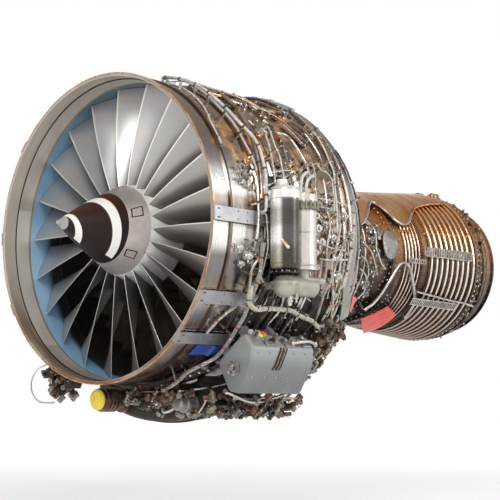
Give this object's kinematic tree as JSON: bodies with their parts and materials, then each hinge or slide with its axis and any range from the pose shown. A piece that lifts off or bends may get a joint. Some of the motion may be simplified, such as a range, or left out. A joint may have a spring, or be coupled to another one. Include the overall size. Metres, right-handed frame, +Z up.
{
  "type": "jet engine",
  "caption": "Two-spool high-bypass jet engine with wide-chord fan, polished fan case, side accessories and tube-cooled turbine case.",
  "frame": {"origin": "centre of the fan case front flange, on the engine axis", "axes": "+Y along the engine axis pointing aft, +Z up, +X to the side that carries the oil tank"},
  "size_m": [1.9666, 3.504, 1.9176],
  "materials": {
    "blade_titanium": "satin titanium",
    "filler_white": "pale satin",
    "dark_alloy": "dark machined alloy",
    "spinner_paint": "gloss with white bands",
    "tip_rubber": "pale rubber",
    "fairing_grey": "satin grey",
    "vane_alloy": "satin",
    "bearing_steel": "ground steel",
    "case_titanium": "polished, straw toned",
    "liner_metal": "satin",
    "strip_blue": "pale blue, matt",
    "strap_grey": "satin grey",
    "core_grey": "satin grey",
    "hot_alloy": "heat tinted",
    "tube_steel": "bright",
    "copper_shield": "copper toned foil",
    "gearbox_dark": "dark cast",
    "accessory_dark": "dark satin",
    "cap_yellow": "moulded",
    "accessory_grey": "cast, satin",
    "tank_grey": "satin grey"
  },
  "bodies": {
    "casing": {"booster_case": "dark_alloy", "inlet_guide_vanes": "vane_alloy", "outer_bearing_races": "bearing_steel", "bearing_housing": "dark_alloy", "fan_case": "case_titanium", "acoustic_liners": "liner_metal", "rub_strip": "strip_blue", "case_straps": "strap_grey", "frame_ring": "case_titanium", "frame_hub": "vane_alloy", "frame_struts": "vane_alloy", "outlet_guide_vanes": "vane_alloy", "splitter": "vane_alloy", "compressor_case_front": "core_grey", "compressor_case_rear": "core_grey", "combustion_case": "hot_alloy", "combustor_liner": "hot_alloy", "fuel_nozzles": "tube_steel", "combustor_inner_case": "hot_alloy", "high_pressure_turbine_case": "hot_alloy", "low_pressure_turbine_case": "hot_alloy", "exhaust_case": "hot_alloy", "exhaust_hub": "hot_alloy", "exhaust_struts": "hot_alloy", "rear_bearing_cover": "core_grey", "cooling_tubes": "tube_steel", "heat_shield": "copper_shield", "gearbox": "gearbox_dark", "starter": "accessory_dark", "starter_cap": "cap_yellow", "fuel_pump": "accessory_grey", "hydraulic_pump": "accessory_grey", "oil_pump": "accessory_grey", "generator": "accessory_dark", "oil_tank": "tank_grey", "heat_exchanger": "accessory_grey", "air_canister": "accessory_grey", "filter_housing": "accessory_grey", "control_box": "tank_grey", "front_mount": "dark_alloy", "rear_mount": "dark_alloy", "case_pipes": "tube_steel", "main_air_pipe": "tube_steel", "core_pipes": "tube_steel"},
    "low_pressure_spool": {"spinner": "spinner_paint", "spinner_tip": "tip_rubber", "annulus_fairing": "fairing_grey", "fan_blades": "blade_titanium", "annulus_fillers": "filler_white", "fan_disc": "dark_alloy", "low_pressure_shaft": "dark_alloy", "booster_rotor": "dark_alloy", "low_pressure_bearing_races": "bearing_steel", "low_pressure_turbine_rotor": "hot_alloy"},
    "high_pressure_spool": {"high_pressure_compressor_rotor": "dark_alloy", "high_pressure_turbine_rotor": "dark_alloy", "high_pressure_bearing_races": "bearing_steel"},
    "filler_cap": {"oil_filler_cap": "tube_steel"}
  },
  "joints": [
    {"name": "low_pressure_spin", "type": "hinge", "parent": "casing", "child": "low_pressure_spool", "pos_m": [0, 0, 0], "axis": [0, 1, 0], "continuous": true},
    {"name": "high_pressure_spin", "type": "hinge", "parent": "casing", "child": "high_pressure_spool", "pos_m": [0, 1.2, 0], "axis": [0, 1, 0], "continuous": true},
    {"name": "filler_cap_hinge", "type": "hinge", "parent": "casing", "child": "filler_cap", "pos_m": [0.77062, 0.4, -0.56536], "axis": [0, -1, 0], "range_deg": [0, 100]}
  ]
}
